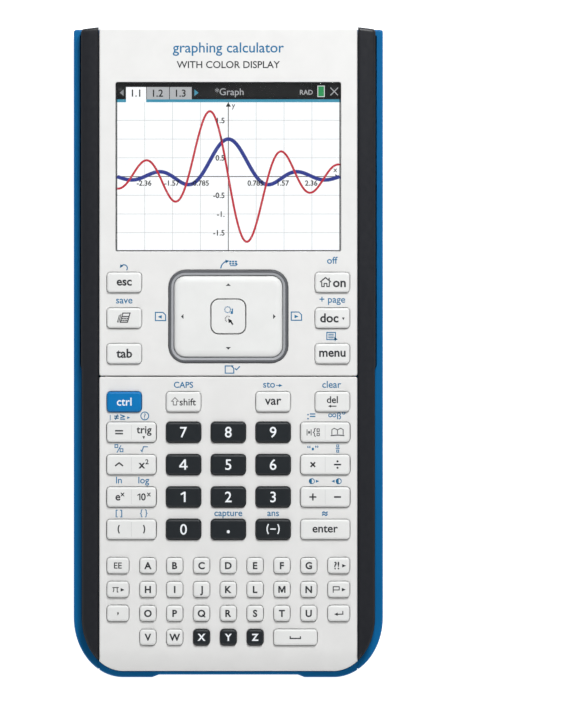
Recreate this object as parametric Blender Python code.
"""Handheld graphing calculator, modelled as the separate pieces that it is assembled from.

Sizes are in millimetres and MM turns them into metres. +X is to the right of the screen, +Y is
towards the screen end and +Z comes out of the keyboard. The origin is the middle of the back face,
which is what the calculator rests on.
"""

import math

import bmesh
import bpy

MM = 0.001

# Whole calculator
LENGTH = 190.0
HALF_WIDTH = 45.2
TOP_Y = LENGTH / 2
BOTTOM_Y = -LENGTH / 2
GAP = 0.3  # between two pieces that touch
SEAM = 0.15  # half of a visible parting line

# Heights of the layers, from the back face up
FLOOR_TOP = 1.6
RIM_TOP = 10.6  # top of the rear cover's side walls
PLATE_SKIRT_BOTTOM = RIM_TOP + GAP
PLATE_BOTTOM = 13.2
PLATE_TOP = 15.0
RAIL_TOP = 15.1
KEY_TOP = 16.0
FLANGE_BOTTOM = 12.0
FLANGE_TOP = PLATE_BOTTOM - GAP
BOARD_BOTTOM = 7.4
BOARD_TOP = 8.6
MAT_BOTTOM = BOARD_TOP + GAP
MAT_TOP = 9.7
DOME_TOP = 10.5

# Plan of the lower corners: quarter ellipses about one centre
CORNER_X = 30.76
CORNER_Y = -76.74
CORNER_STEPS = 10
OUTER_B = 18.0
INNER_B = 16.51

# Rear cover
COVER_TOP_Y = 94.3
COVER_END_WALL = 1.6
CAVITY_HALF_UPPER = 43.4  # the side walls are thinner above the step
CAVITY_HALF_LOWER = 42.9
STEP_Y = -3.9
STEP_LENGTH = 1.2
TOP_CORNER = 1.2  # radius in plan of the corners at the screen end
BACK_EDGE_RADIUS = 3.2
FOOT_OUTER_X = 30.2
FOOT_INNER_X = 22.3
RECESS_X = 20.3  # half width of the recess between the two feet of the lower edge
RECESS_Y = -94.25
POST_RADIUS = 2.0
POSTS = [(x, y) for x in (-33.0, 33.0) for y in (84.0, 8.0, -82.0)]

# Faceplates
PLATE_HALF = 37.7
PLATE_TOP_Y = 94.55
PLATE_WALL = 1.0
SEAM_Y = -7.03
PLATE_CORNER = 0.6

# Side rails
RAIL_INNER = PLATE_HALF + 0.2
RAIL_WALL = 1.2
RAIL_GAP = 0.35
RAIL_END_DROP = 0.4  # how much shorter a rail is at its outer side
RAIL_TIP = 1.3  # width of the blunt lower end
RAIL_STEPS = 6
RAIL_CROWN = 1.0
TONGUE_X = 41.9
TONGUE_BOTTOM = 4.0

# Display
WINDOW_Y = 54.15
WINDOW_SIZE = (65.9, 49.6)
WINDOW_Z = (13.6, 14.8)
MODULE_SIZE = (70.0, 54.0)
ACTIVE_SIZE = (65.0, 48.8)

# Touchpad
PAD_Y = 10.45
BEZEL_SIZE = (34.8, 27.0)
BEZEL_CORNER = 4.8
BEZEL_WIDTH = 1.35
BEZEL_TOP = 15.35
BEZEL_FLANGE = 0.8  # how far the ring reaches under the faceplate
PAD_GAP = 0.22
PAD_Z = (13.0, 15.5)
CARRIER_SIZE = (30.0, 22.0)
CARRIER_OPENING = (16.4, 14.0)
CARRIER_Z = (11.1, 12.3)
CLICK_SIZE = (9.9, 9.9)
CLICK_CORNER = 2.2

# Keys
KEY_GAP = 0.25
FLANGE_REACH = 0.7
KEY_CORNER = 1.0
KEY_EDGE = 0.45
NAV_KEY = (10.1, 6.3)
ROCKER = (14.4, 6.25)
LETTER_KEY = (4.9, 5.1)
SIDE_KEY = (6.4, 5.1)
SIDE_COLUMN = 30.4
ROCKER_COLUMN = 28.3
NUMBER_PITCH = (13.08, 9.46)
NUMBER_TOP_ROW = -23.35
CTRL_ROW = -14.45
NAV_ROWS = (20.4, 10.0, -0.4)
LETTER_PITCH = (7.83, 6.98)
LETTER_TOP_ROW = -62.3
SIDE_KEY_COLUMN = 32.25
ROCKER_TAB = 5.0  # length of a rocker's retaining tabs, across its axis
ROCKER_AXIS_Z = 12.5
DOME_RADIUS = 1.7

# Parts below the circuit board
DOOR_OPENING = (54.0, 42.0)
DOOR_Y = -49.0
DOOR_THICKNESS = 1.5
HOOK_X = 15.0
HOOK_WIDTH = 8.0
HOOK_Z = (FLOOR_TOP + 0.35, FLOOR_TOP + 1.0)
SCREW_Y = -31.0
SCREW_HEAD = (2.3, 0.15, 0.6)  # radius, then the heights between which it lies
SCREW_SHANK_RADIUS = 0.95
SCREW_END = 5.5
SCREW_RECESS = (2.7, 0.9)  # radius and depth
THREAD_RADIUS = 1.3
SHELF_SIZE = (13.0, 10.0)  # the shelf on the cover's floor that takes the screw
SHELF_TOP = 3.6
SHELF_BOTTOM = 1.9
BATTERY_SIZE = (46.0, 32.0, 4.2)
BATTERY_Y = -53.0
BATTERY_BOTTOM = 2.9
USB_SIZE = (7.7, 9.0, 4.0)
USB_BOTTOM = 3.1
USB_WALL = 0.5
USB_TONGUE = (4.6, 5.0, 0.8)
DOCK_SIZE = (25.4, 5.0, 3.0)
DOCK_BOTTOM = 4.1
SOCKET_GAP = 0.35
RESET_Y = -16.0
RESET_RADIUS = 1.2
RESET_FLANGE = (2.4, 1.9, 2.6)  # radius, then the heights between which it lies
BOARD_SIZE = (73.0, 176.0)
BOARD_Y = 2.0
MAT_SIZE = (72.0, 112.0)
MAT_Y = -30.0
CUT = 1.0  # how far a cutter runs past the face that it opens


def srgb(red, green, blue):
    """An 8-bit display colour as the linear RGBA that a shader takes."""
    def linear(value):
        share = value / 255
        return share / 12.92 if share <= 0.04045 else ((share + 0.055) / 1.055) ** 2.4
    return (linear(red), linear(green), linear(blue), 1.0)


# name: colour, roughness, metallic
FINISHES = {
    "white_plastic": (srgb(236, 237, 237), 0.42, 0.0),
    "key_white": (srgb(232, 233, 233), 0.38, 0.0),
    "key_black": (srgb(34, 42, 52), 0.4, 0.0),
    "key_blue": (srgb(14, 116, 186), 0.38, 0.0),
    "rail_grey": (srgb(52, 53, 57), 0.45, 0.0),
    "cover_blue": (srgb(20, 98, 155), 0.4, 0.0),
    "satin_metal": (srgb(104, 108, 114), 0.3, 0.9),
    "steel": (srgb(178, 180, 182), 0.3, 1.0),
    "clear_window": (srgb(245, 248, 250), 0.05, 0.0),
    "display_glass": (srgb(238, 242, 246), 0.2, 0.0),
    "board_green": (srgb(24, 92, 58), 0.5, 0.0),
    "silicone": (srgb(206, 208, 208), 0.6, 0.0),
    "battery_wrap": (srgb(46, 48, 54), 0.5, 0.0),
    "connector_black": (srgb(28, 28, 30), 0.5, 0.0),
}


def start_scene():
    """Empties the scene and returns the collections for the pieces and for the cutters."""
    for obj in list(bpy.data.objects):
        bpy.data.objects.remove(obj)
    found = []
    for name in ("graphing_calculator", "cutters"):
        collection = bpy.data.collections.new(name)
        bpy.context.scene.collection.children.link(collection)
        found.append(collection)
    return found


PIECES, CUTTERS = start_scene()


def finish(name):
    """The Principled material of a finish, made once."""
    mat = bpy.data.materials.get(name)
    if mat:
        return mat
    colour, roughness, metallic = FINISHES[name]
    mat = bpy.data.materials.new(name)
    mat.use_nodes = True
    shader = mat.node_tree.nodes["Principled BSDF"]
    shader.inputs["Base Color"].default_value = colour
    shader.inputs["Roughness"].default_value = roughness
    shader.inputs["Metallic"].default_value = metallic
    mat.diffuse_color = colour
    return mat


# Basic shapes, each a bmesh in metres

def rounded_box(centre, size, z_low, z_high, corner=0.0, edge=0.0, segments=2):
    """A box with its upright edges rounded to corner and the edges of its top to edge."""
    bm = bmesh.new()
    bmesh.ops.create_cube(bm, size=1.0)
    bmesh.ops.scale(bm, vec=(size[0] * MM, size[1] * MM, (z_high - z_low) * MM), verts=bm.verts)
    middle = (centre[0] * MM, centre[1] * MM, (z_low + z_high) / 2 * MM)
    bmesh.ops.translate(bm, vec=middle, verts=bm.verts)
    if corner:
        upright = [e for e in bm.edges if abs(e.verts[0].co.z - e.verts[1].co.z) > MM / 10]
        bmesh.ops.bevel(bm, geom=upright, offset=corner * MM, segments=segments, profile=0.5, affect="EDGES")
    if edge:
        top = [e for e in bm.edges if all(v.co.z > (z_high - 0.01) * MM for v in e.verts)]
        bmesh.ops.bevel(bm, geom=top, offset=edge * MM, segments=1, profile=0.5, affect="EDGES")
    return bm


def cylinder(centre, radius, z_low, z_high, segments=16):
    bm = bmesh.new()
    bmesh.ops.create_cone(
        bm, cap_ends=True, segments=segments, radius1=radius * MM, radius2=radius * MM, depth=(z_high - z_low) * MM
    )
    bmesh.ops.translate(bm, vec=(centre[0] * MM, centre[1] * MM, (z_low + z_high) / 2 * MM), verts=bm.verts)
    return bm


def merged(shapes):
    """Several shapes as one bmesh, still separate bodies."""
    bm = bmesh.new()
    for shape in shapes:
        mesh = bpy.data.meshes.new("part_of_group")
        shape.to_mesh(mesh)
        shape.free()
        bm.from_mesh(mesh)
        bpy.data.meshes.remove(mesh)
    return bm


def prism(points, z_low, z_high):
    """A flat outline in millimetres, filled and given a thickness."""
    curve = bpy.data.curves.new("outline", "CURVE")
    curve.dimensions = "2D"
    curve.fill_mode = "BOTH"
    curve.extrude = (z_high - z_low) / 2 * MM
    spline = curve.splines.new("POLY")
    spline.points.add(len(points) - 1)
    for point, (x, y) in zip(spline.points, points):
        point.co = (x * MM, y * MM, 0, 1)
    spline.use_cyclic_u = True
    guide = bpy.data.objects.new("outline", curve)
    CUTTERS.objects.link(guide)
    bpy.context.view_layer.update()
    mesh = bpy.data.meshes.new_from_object(guide.evaluated_get(bpy.context.evaluated_depsgraph_get()))
    bm = bmesh.new()
    bm.from_mesh(mesh)
    bmesh.ops.remove_doubles(bm, verts=bm.verts, dist=MM / 1000)
    bmesh.ops.dissolve_limit(bm, angle_limit=0.01, verts=bm.verts, edges=bm.edges)
    bmesh.ops.recalc_face_normals(bm, faces=bm.faces)
    bmesh.ops.translate(bm, vec=(0, 0, (z_low + z_high) / 2 * MM), verts=bm.verts)
    bpy.data.objects.remove(guide)
    bpy.data.curves.remove(curve)
    bpy.data.meshes.remove(mesh)
    return bm


# Objects and Booleans

def add_object(name, bm, collection):
    mesh = bpy.data.meshes.new(name)
    bm.to_mesh(mesh)
    bm.free()
    mesh.shade_smooth()
    mesh.set_sharp_from_angle(angle=math.radians(28))
    obj = bpy.data.objects.new(name, mesh)
    collection.objects.link(obj)
    return obj


def add_part(name, bm, finish_name, origin=(0.0, 0.0, 0.0)):
    """A named piece of the calculator, its origin at the millimetre point given."""
    origin_m = [value * MM for value in origin]
    bmesh.ops.translate(bm, vec=[-value for value in origin_m], verts=bm.verts)
    obj = add_object(name, bm, PIECES)
    obj.location = origin_m
    obj.data.materials.append(finish(finish_name))
    return obj


def helper(obj):
    obj.hide_render = True
    obj.display_type = "WIRE"
    return obj


def boolean(obj, bm, operation):
    """Cuts bm from obj, or joins it on, with an exact Boolean modifier. Returns the tool."""
    tool = helper(add_object(f"{obj.name}_{operation.lower()}", bm, CUTTERS))
    modifier = obj.modifiers.new(operation.title(), "BOOLEAN")
    modifier.operation = operation
    modifier.solver = "EXACT"
    modifier.object = tool
    return tool


def cut(obj, *shapes):
    boolean(obj, merged(shapes), "DIFFERENCE")


def join(obj, *shapes):
    boolean(obj, merged(shapes), "UNION")


def cut_at_origin(obj, shape):
    """As cut, with the shape drawn about the piece's own origin."""
    boolean(obj, shape, "DIFFERENCE").location = obj.location


def join_at_origin(obj, shape):
    boolean(obj, shape, "UNION").location = obj.location


# Outlines, as the right half from top to bottom, in millimetres

def ellipse_arc(half_axes, start=0.0, steps=CORNER_STEPS):
    """Points of the lower right corner's quarter ellipse, from angle start down to the bottom."""
    a, b = half_axes
    angles = [start + (math.pi / 2 - start) * i / steps for i in range(steps + 1)]
    return [(CORNER_X + a * math.cos(t), CORNER_Y - b * math.sin(t)) for t in angles]


def round_corner(x, y, radius, steps=3):
    """Points of a rounded upper right corner whose sharp corner would be at (x, y)."""
    angles = [math.pi / 2 * (1 - i / steps) for i in range(steps + 1)]
    return [(x - radius + radius * math.cos(t), y - radius + radius * math.sin(t)) for t in angles]


def both_halves(right):
    return right + [(-x, y) for x, y in reversed(right) if x > 0.001]


def cover_outline():
    side = [(HALF_WIDTH, COVER_TOP_Y)]
    corner = ellipse_arc((HALF_WIDTH - CORNER_X, OUTER_B))
    feet = [(FOOT_OUTER_X, BOTTOM_Y), (FOOT_INNER_X, BOTTOM_Y), (RECESS_X, RECESS_Y)]
    return both_halves(side + corner + feet)


def cavity_outline():
    end = COVER_TOP_Y - COVER_END_WALL
    side = [(CAVITY_HALF_UPPER, end), (CAVITY_HALF_UPPER, STEP_Y), (CAVITY_HALF_LOWER, STEP_Y - STEP_LENGTH)]
    return both_halves(side + ellipse_arc((CAVITY_HALF_LOWER - CORNER_X, INNER_B)))


def arc_start(x, a):
    """The ellipse angle at which the corner reaches this x."""
    return math.acos((x - CORNER_X) / a)


def upper_plate_outline(inset=0.0):
    half, top, low = PLATE_HALF - inset, PLATE_TOP_Y - inset, SEAM_Y + SEAM + inset
    below = [(x, 2 * low - y) for x, y in reversed(round_corner(half, low, PLATE_CORNER))]
    return both_halves([(half, top), *below])


def lower_plate_outline(inset=0.0):
    half, top = PLATE_HALF - inset, SEAM_Y - SEAM - inset
    a = CAVITY_HALF_LOWER - CORNER_X - SEAM - inset
    b = INNER_B - SEAM - inset
    return both_halves(round_corner(half, top, PLATE_CORNER) + ellipse_arc((a, b), arc_start(half, a)))


def rail_outline(side, inset=0.0):
    """The whole outline of one rail; side is 1 on the right and -1 on the left."""
    inner = RAIL_INNER + inset
    upper = CAVITY_HALF_UPPER - RAIL_GAP - inset
    lower = CAVITY_HALF_LOWER - RAIL_GAP - inset
    a, b = lower - CORNER_X, INNER_B - RAIL_GAP - inset
    end = arc_start(inner + RAIL_TIP, a)
    angles = [end * i / RAIL_STEPS for i in range(RAIL_STEPS + 1)]
    corner = [(CORNER_X + a * math.cos(t), CORNER_Y - b * math.sin(t)) for t in angles]
    corner.append((inner, corner[-1][1] - 0.3))
    top = [(inner, TOP_Y - inset), (upper, TOP_Y - RAIL_END_DROP - inset)]
    step = [(upper, STEP_Y), (lower, STEP_Y - STEP_LENGTH)]
    return [(side * x, y) for x, y in top + step + corner]


# Casing

def round_edges(bm, radius, segments, chosen):
    """Rounds the edges whose two end points, in millimetres, the function chosen accepts."""
    picked = [e for e in bm.edges if chosen(e.verts[0].co / MM, e.verts[1].co / MM) and e.calc_face_angle(0.0) > 0.1]
    bmesh.ops.bevel(bm, geom=picked, offset=radius * MM, segments=segments, profile=0.5, affect="EDGES")


def round_top_corners(bm):
    """Rounds the upright edges at the screen end's outer corners."""
    round_edges(
        bm, TOP_CORNER, 2,
        lambda a, b: abs(a.z - b.z) > 3.0 and abs(a.x) > CAVITY_HALF_LOWER and a.y > COVER_TOP_Y - 1.0,
    )


def add_rear_cover():
    bm = prism(cover_outline(), 0.0, RIM_TOP)
    round_edges(bm, BACK_EDGE_RADIUS, 3, lambda a, b: a.z < 0.01 and b.z < 0.01)
    round_top_corners(bm)
    cover = add_part("rear_cover", bm, "cover_blue")
    cut(cover, prism(cavity_outline(), FLOOR_TOP, RIM_TOP + CUT))
    shelf = rounded_box((0, SCREW_Y + 3.0), SHELF_SIZE, FLOOR_TOP - SEAM, SHELF_TOP)
    posts = [cylinder(at, POST_RADIUS, FLOOR_TOP - SEAM, BOARD_BOTTOM - GAP, 10) for at in POSTS]
    join(cover, shelf, *posts)
    cut(cover, rounded_box((0, DOOR_Y), DOOR_OPENING, -CUT, SHELF_BOTTOM, 2.0))
    usb = socket_opening(COVER_TOP_Y, USB_SIZE, USB_BOTTOM)
    dock = socket_opening(RECESS_Y, DOCK_SIZE, DOCK_BOTTOM)
    reset = cylinder((0, RESET_Y), RESET_RADIUS + 0.4, -CUT, FLOOR_TOP + CUT)
    thread = cylinder((0, SCREW_Y), THREAD_RADIUS, FLOOR_TOP, SHELF_TOP + CUT, 12)
    cut(cover, usb, dock, reset, thread)


def socket_opening(wall_y, size, low):
    """A hole through an end wall, a little larger all round than the socket behind it."""
    across = (size[0] + 2 * SOCKET_GAP, 6.0)
    return rounded_box((0, wall_y), across, low - SOCKET_GAP, low + size[2] + SOCKET_GAP)


def add_faceplates(holes):
    """The two plates of the front, cut for the window, the touchpad and every key in holes."""
    upper = add_part("upper_faceplate", prism(upper_plate_outline(), PLATE_SKIRT_BOTTOM, PLATE_TOP), "white_plastic")
    lower = add_part("lower_faceplate", prism(lower_plate_outline(), PLATE_SKIRT_BOTTOM, PLATE_TOP), "white_plastic")
    cut(upper, prism(upper_plate_outline(PLATE_WALL), PLATE_SKIRT_BOTTOM - CUT, PLATE_BOTTOM))
    cut(lower, prism(lower_plate_outline(PLATE_WALL), PLATE_SKIRT_BOTTOM - CUT, PLATE_BOTTOM))
    through = (PLATE_BOTTOM - CUT, PLATE_TOP + CUT)
    window = rounded_box((0, WINDOW_Y), WINDOW_SIZE, *through, 0.5)
    pad_size = [size + 2 * SEAM for size in BEZEL_SIZE]
    pad = rounded_box((0, PAD_Y), pad_size, *through, BEZEL_CORNER + SEAM, segments=5)
    in_upper = [h for h in holes if h[0][1] > SEAM_Y]
    in_lower = [h for h in holes if h[0][1] < SEAM_Y]
    cut(upper, window, pad, *[key_hole(*h) for h in in_upper])
    cut(lower, *[key_hole(*h) for h in in_lower])


def key_hole(centre, size):
    around = [s + 2 * KEY_GAP for s in size]
    return rounded_box(centre, around, PLATE_BOTTOM - CUT, PLATE_TOP + CUT, KEY_CORNER + KEY_GAP)


def add_rail(name, side):
    bm = prism(rail_outline(side), PLATE_SKIRT_BOTTOM, RAIL_TOP)
    round_edges(
        bm, RAIL_CROWN, 3,
        lambda a, b: min(a.z, b.z) > RAIL_TOP - 0.01 and max(abs(a.x), abs(b.x)) > RAIL_INNER + 0.01,
    )
    round_top_corners(bm)
    rail = add_part(name, bm, "rail_grey")
    cut(rail, prism(rail_outline(side, RAIL_WALL), PLATE_SKIRT_BOTTOM - CUT, PLATE_BOTTOM))
    tongue = rounded_box((side * TONGUE_X, 8.0), (1.2, 166.0), TONGUE_BOTTOM, PLATE_SKIRT_BOTTOM + 1.5)
    join(rail, tongue)


# Display and touchpad

def add_display():
    window = [size - 2 * SEAM for size in WINDOW_SIZE]
    add_part("display_window", rounded_box((0, WINDOW_Y), window, *WINDOW_Z, 0.4), "clear_window")
    module = add_part(
        "lcd_module", rounded_box((0, WINDOW_Y), MODULE_SIZE, MAT_BOTTOM, PLATE_BOTTOM - GAP), "display_glass"
    )
    join(module, rounded_box((0, WINDOW_Y), ACTIVE_SIZE, 11.0, WINDOW_Z[0] - GAP))


def add_touchpad():
    bezel = add_part(
        "touchpad_bezel",
        rounded_box((0, PAD_Y), BEZEL_SIZE, PLATE_BOTTOM - 0.6, BEZEL_TOP, BEZEL_CORNER, 0.3, segments=5),
        "satin_metal",
    )
    opening = [size - 2 * BEZEL_WIDTH for size in BEZEL_SIZE]
    corner = BEZEL_CORNER - BEZEL_WIDTH
    flange = [size + 2 * BEZEL_FLANGE for size in BEZEL_SIZE]
    join(bezel, rounded_box((0, PAD_Y), flange, PLATE_BOTTOM - 1.0, PLATE_BOTTOM - GAP, BEZEL_CORNER, segments=3))
    cut(bezel, rounded_box((0, PAD_Y), opening, PLATE_BOTTOM - 2.0, BEZEL_TOP + CUT, corner, segments=5))

    carrier = add_part(
        "touchpad_carrier", rounded_box((0, PAD_Y), CARRIER_SIZE, *CARRIER_Z, 3.0), "connector_black",
        (0, PAD_Y, sum(CARRIER_Z) / 2),
    )
    middle = (0, 0)
    cut_at_origin(carrier, rounded_box(middle, CARRIER_OPENING, -CUT - 1, CUT + 1, 1.0))

    pad_size = [size - 2 * PAD_GAP for size in opening]
    pad = add_part(
        "touchpad_plate", rounded_box((0, PAD_Y), pad_size, *PAD_Z, corner - PAD_GAP, 0.8, segments=5), "key_white",
        (0, PAD_Y, PAD_Z[0]),
    )
    hole = [size + 2 * KEY_GAP for size in CLICK_SIZE]
    cut_at_origin(pad, rounded_box(middle, hole, -CUT, 3.5, CLICK_CORNER + KEY_GAP, segments=3))

    click = add_part(
        "click_button", rounded_box((0, PAD_Y), CLICK_SIZE, 12.3, 15.55, CLICK_CORNER, 0.3, segments=3), "key_white",
        (0, PAD_Y, PAD_Z[0]),
    )
    flange = rounded_box(middle, (CLICK_SIZE[0] + 2.2, CLICK_SIZE[1] + 2.2), -1.0, -0.4, CLICK_CORNER)
    join_at_origin(click, flange)


# Keys

def add_key(name, centre, size, finish_name="key_white"):
    """One key: a cap that stands through the faceplate, on a flange that stops it rising."""
    middle = (*centre, FLANGE_BOTTOM)
    cap = rounded_box(centre, size, FLANGE_BOTTOM + 0.2, KEY_TOP, KEY_CORNER, KEY_EDGE)
    key = add_part(name, cap, finish_name, middle)
    flange = [s + 2 * FLANGE_REACH for s in size]
    join_at_origin(key, rounded_box((0, 0), flange, 0.0, FLANGE_TOP - FLANGE_BOTTOM))


def add_rocker(name, centre, finish_name="key_white"):
    """A two-way key: it tips left or right about the short tabs at the middle of its long sides."""
    cap = rounded_box(centre, ROCKER, FLANGE_BOTTOM, KEY_TOP, KEY_CORNER, KEY_EDGE)
    rocker = add_part(name, cap, finish_name, (*centre, ROCKER_AXIS_Z))
    tabs = (ROCKER_TAB, ROCKER[1] + 2 * FLANGE_REACH)
    low = FLANGE_BOTTOM + 0.1 - ROCKER_AXIS_Z
    join_at_origin(rocker, rounded_box((0, 0), tabs, low, FLANGE_TOP - ROCKER_AXIS_Z))


def add_letter_strip(name, centres):
    """A row of letter caps moulded on one web, which lies under the faceplate."""
    caps = [rounded_box(at, LETTER_KEY, FLANGE_BOTTOM + 0.2, KEY_TOP, KEY_CORNER, KEY_EDGE) for at in centres]
    first, last = centres[0], centres[-1]
    middle = ((first[0] + last[0]) / 2, first[1])
    web = (last[0] - first[0] + LETTER_KEY[0] + 2 * FLANGE_REACH, LETTER_KEY[1] + 2 * FLANGE_REACH)
    strip = add_part(name, rounded_box(middle, web, FLANGE_BOTTOM, FLANGE_TOP), "key_white", (*middle, FLANGE_BOTTOM))
    join(strip, *caps)


def letter_place(column, row):
    """Centre of a letter key; column 3 is on the centre line."""
    return ((column - 3) * LETTER_PITCH[0], LETTER_TOP_ROW - row * LETTER_PITCH[1])


def number_place(column, row):
    """Centre of a number key; column 1 is on the centre line."""
    return ((column - 1) * NUMBER_PITCH[0], NUMBER_TOP_ROW - row * NUMBER_PITCH[1])


def key_list():
    """Every key that moves alone: name, centre, size and finish."""
    keys = []
    for side, names in ((-1, ("esc_key", "calculator_key", "tab_key")), (1, ("home_on_key", "document_key", "menu_key"))):
        keys += [(name, (side * SIDE_COLUMN, y), NAV_KEY, "key_white") for name, y in zip(names, NAV_ROWS)]
    keys += [
        ("ctrl_key", (-SIDE_COLUMN, CTRL_ROW), NAV_KEY, "key_blue"),
        ("shift_key", (-NUMBER_PITCH[0], CTRL_ROW), NAV_KEY, "key_white"),
        ("variable_key", (NUMBER_PITCH[0], CTRL_ROW), NAV_KEY, "key_white"),
        ("delete_key", (SIDE_COLUMN, CTRL_ROW), NAV_KEY, "key_white"),
    ]
    rows = (("digit_7", "digit_8", "digit_9"), ("digit_4", "digit_5", "digit_6"),
            ("digit_1", "digit_2", "digit_3"), ("digit_0", "decimal_point", "negative_sign"))
    for row, names in enumerate(rows):
        keys += [(f"{name}_key", number_place(column, row), NAV_KEY, "key_black") for column, name in enumerate(names)]
    keys.append(("enter_key", (ROCKER_COLUMN, number_place(0, 3)[1]), ROCKER, "key_white"))
    for row, (left, right) in enumerate((("ee", "punctuation"), ("pi", "flag"), ("comma", "return"))):
        y = letter_place(0, row)[1]
        keys.append((f"{left}_key", (-SIDE_KEY_COLUMN, y), SIDE_KEY, "key_white"))
        keys.append((f"{right}_key", (SIDE_KEY_COLUMN, y), SIDE_KEY, "key_white"))
    space_x = (letter_place(5, 3)[0] + letter_place(6, 3)[0]) / 2
    space_size = (LETTER_PITCH[0] + LETTER_KEY[0], LETTER_KEY[1])
    keys.append(("space_key", (space_x, letter_place(5, 3)[1]), space_size, "key_white"))
    return keys


def rocker_list():
    left = ("equals_trig_rocker", "power_square_rocker", "exponential_rocker", "bracket_rocker")
    right = ("template_catalog_rocker", "multiply_divide_rocker", "plus_minus_rocker")
    places = [(name, (-ROCKER_COLUMN, number_place(0, row)[1])) for row, name in enumerate(left)]
    return places + [(name, (ROCKER_COLUMN, number_place(0, row)[1])) for row, name in enumerate(right)]


def strip_list():
    names = ("letters_a_to_g", "letters_h_to_n", "letters_o_to_u", "letters_v_to_z")
    return [(name, [letter_place(column, row) for column in range(5 if row == 3 else 7)])
            for row, name in enumerate(names)]


def press_points():
    """Where each silicone dome stands: under every key, both ends of a rocker and round the pad."""
    points = [centre for _, centre, _, _ in key_list()]
    points += [(x + side * ROCKER[0] / 4, y) for _, (x, y) in rocker_list() for side in (-1, 1)]
    points += [centre for _, centres in strip_list() for centre in centres]
    points += [(0, PAD_Y), (-12.5, PAD_Y), (12.5, PAD_Y), (0, PAD_Y - 9.0), (0, PAD_Y + 9.0)]
    return points


def add_keys():
    for name, centre, size, finish_name in key_list():
        add_key(name, centre, size, finish_name)
    for name, centre in rocker_list():
        add_rocker(name, centre)
    for name, centres in strip_list():
        add_letter_strip(name, centres)


def all_holes():
    holes = [(centre, size) for _, centre, size, _ in key_list()]
    holes += [(centre, ROCKER) for _, centre in rocker_list()]
    holes += [(centre, LETTER_KEY) for _, centres in strip_list() for centre in centres]
    return holes


# Inside

def add_electronics():
    add_part("circuit_board", rounded_box((0, BOARD_Y), BOARD_SIZE, BOARD_BOTTOM, BOARD_TOP, 3.0), "board_green")
    mat = add_part("keypad_mat", rounded_box((0, MAT_Y), MAT_SIZE, MAT_BOTTOM, MAT_TOP, 2.0), "silicone")
    join(mat, *[cylinder(at, DOME_RADIUS, MAT_TOP - 0.4, DOME_TOP, 6) for at in press_points()])
    *plan, height = BATTERY_SIZE
    cell = rounded_box((0, BATTERY_Y), plan, BATTERY_BOTTOM, BATTERY_BOTTOM + height, 1.0)
    add_part("battery", cell, "battery_wrap")


def add_battery_door():
    """The door hooks under the cover's floor at one end and is held by a screw at the other."""
    size = [s - 2 * GAP for s in DOOR_OPENING]
    door = add_part("battery_door", rounded_box((0, DOOR_Y), size, 0.0, DOOR_THICKNESS, 1.8), "cover_blue")
    edge = DOOR_Y - DOOR_OPENING[1] / 2
    sides = (-HOOK_X, HOOK_X)
    join(door, *[rounded_box((x, edge + 2.0), (HOOK_WIDTH, 2.0), 1.0, sum(HOOK_Z) / 2) for x in sides])
    join(door, *[rounded_box((x, edge + 1.0), (HOOK_WIDTH, 4.0), *HOOK_Z) for x in sides])
    recess_radius, recess_depth = SCREW_RECESS
    cut(door, cylinder((0, SCREW_Y), recess_radius, -CUT, recess_depth))
    cut(door, cylinder((0, SCREW_Y), THREAD_RADIUS, 0.0, DOOR_THICKNESS + CUT, 12))
    head_radius, low, high = SCREW_HEAD
    screw = add_part(
        "battery_door_screw", cylinder((0, SCREW_Y), head_radius, low, high), "steel", (0, SCREW_Y, 0)
    )
    join_at_origin(screw, cylinder((0, 0), SCREW_SHANK_RADIUS, (low + high) / 2, SCREW_END, 10))


def add_sockets():
    """The USB socket in the top end and the cradle connector in the bottom end."""
    width, depth, height = USB_SIZE
    mouth = COVER_TOP_Y - GAP
    back, top = mouth - depth, USB_BOTTOM + height
    usb = add_part("usb_socket", rounded_box((0, mouth - depth / 2), (width, depth), USB_BOTTOM, top), "steel")
    hollow = (width - 2 * USB_WALL, depth)
    cut(usb, rounded_box((0, mouth - depth / 2 + 1.2), hollow, USB_BOTTOM + USB_WALL, top - USB_WALL))
    tongue_width, tongue_length, thickness = USB_TONGUE
    low = (USB_BOTTOM + top - thickness) / 2
    join(usb, rounded_box((0, back + 0.6 + tongue_length / 2), (tongue_width, tongue_length), low, low + thickness))
    width, depth, height = DOCK_SIZE
    middle = (0, RECESS_Y + GAP + depth / 2)
    dock = rounded_box(middle, (width, depth), DOCK_BOTTOM, DOCK_BOTTOM + height)
    add_part("dock_connector", dock, "connector_black")


def add_reset_button():
    pin = cylinder((0, RESET_Y), RESET_RADIUS, 0.5, 3.0)
    reset = add_part("reset_button", pin, "connector_black", (0, RESET_Y, 0))
    radius, low, high = RESET_FLANGE
    join_at_origin(reset, cylinder((0, 0), radius, low, high))


def main():
    add_rear_cover()
    add_faceplates(all_holes())
    add_rail("left_side_rail", -1)
    add_rail("right_side_rail", 1)
    add_display()
    add_touchpad()
    add_keys()
    add_electronics()
    add_battery_door()
    add_sockets()
    add_reset_button()


main()
